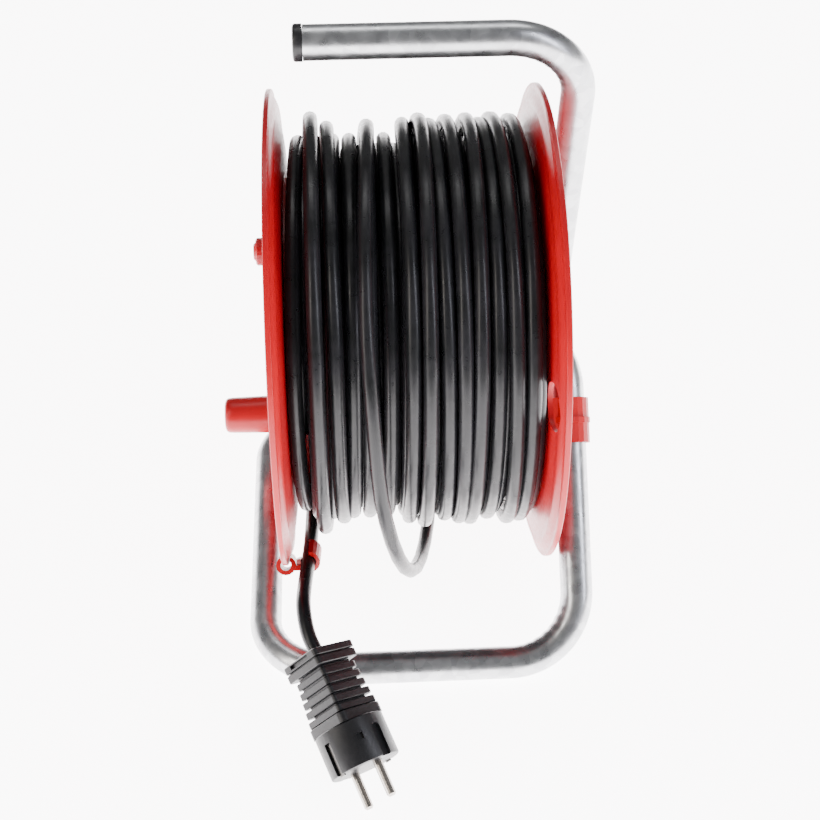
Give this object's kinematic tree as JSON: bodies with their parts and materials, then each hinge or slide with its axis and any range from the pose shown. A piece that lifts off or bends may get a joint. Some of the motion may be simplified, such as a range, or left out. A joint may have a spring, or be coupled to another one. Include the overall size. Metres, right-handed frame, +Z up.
{
  "type": "extension cord reel",
  "caption": "Free-standing cable reel: red flanged drum of black mains cord on a bent steel tube frame, with earthed sockets, crank knob and reset button",
  "frame": {"origin": "the floor, under the middle of the reel's own box, cord and plug left out", "axes": "+Z up; X along the drum's axis, sockets and crank at -X, frame uprights at +X; -Y is the side where the plug hangs"},
  "size_m": [0.2072, 0.3509, 0.3222],
  "materials": {
    "galvanised_tube": "bright galvanised steel tube with faint streaks along its length",
    "screw_steel": "zinc-plated steel",
    "brass": "bare brass contacts",
    "red_plastic": "glossy moulded red plastic",
    "black_plastic": "black moulded plastic, soft sheen",
    "grey_plastic": "dark grey moulded plastic",
    "bush_plastic": "off-white acetal",
    "cord_pvc": "black PVC sheath, satin"
  },
  "bodies": {
    "frame": {"frame_tube": "galvanised_tube", "handle_end_cap": "black_plastic", "axle_end_plug": "black_plastic", "retaining_washer": "screw_steel", "retaining_screw": "screw_steel", "flange_guide_clip": "red_plastic", "cord_tail": "cord_pvc", "plug_collar": "black_plastic", "plug_sleeve": "black_plastic", "plug_front": "black_plastic", "plug_pin_1": "screw_steel", "plug_pin_2": "screw_steel", "plug_earth_strip_1": "screw_steel", "plug_earth_strip_2": "screw_steel"},
    "drum": {"panel_screw": "screw_steel", "crank_pin": "screw_steel", "flange_screw_right_1": "screw_steel", "flange_screw_right_2": "screw_steel", "flange_screw_right_3": "screw_steel", "flange_screw_right_4": "screw_steel", "flange_screw_left_1": "screw_steel", "flange_screw_left_2": "screw_steel", "flange_screw_left_3": "screw_steel", "flange_screw_left_4": "screw_steel", "contact_sleeve_1": "brass", "contact_sleeve_2": "brass", "contact_sleeve_3": "brass", "contact_sleeve_4": "brass", "contact_sleeve_5": "brass", "contact_sleeve_6": "brass", "earth_spring_1": "brass", "earth_spring_2": "brass", "earth_spring_3": "brass", "flange_right": "red_plastic", "flange_left": "red_plastic", "drum_core": "red_plastic", "cord_clip": "red_plastic", "cutout_collar": "red_plastic", "socket_panel": "black_plastic", "contact_carrier": "grey_plastic", "thermal_cutout": "grey_plastic", "cord_anchor": "grey_plastic", "hub_bush_outer": "bush_plastic", "hub_bush_inner": "bush_plastic", "cord_winding": "cord_pvc", "cord_slack_turn": "cord_pvc"},
    "knob": {"crank_knob": "red_plastic"},
    "button": {"reset_button": "red_plastic"}
  },
  "joints": [
    {"name": "drum_spin", "type": "hinge", "parent": "frame", "child": "drum", "pos_m": [0.0054, 0.0039, 0.14429], "axis": [1, 0, 0], "continuous": true},
    {"name": "knob_spin", "type": "hinge", "parent": "drum", "child": "knob", "pos_m": [-0.0846, 0.04061, 0.05343], "axis": [1, 0, 0], "continuous": true},
    {"name": "reset_press", "type": "slide", "parent": "drum", "child": "button", "axis": [1, 0, 0], "range_m": [0, 0.0025], "stiffness_N_per_m": 300}
  ]
}
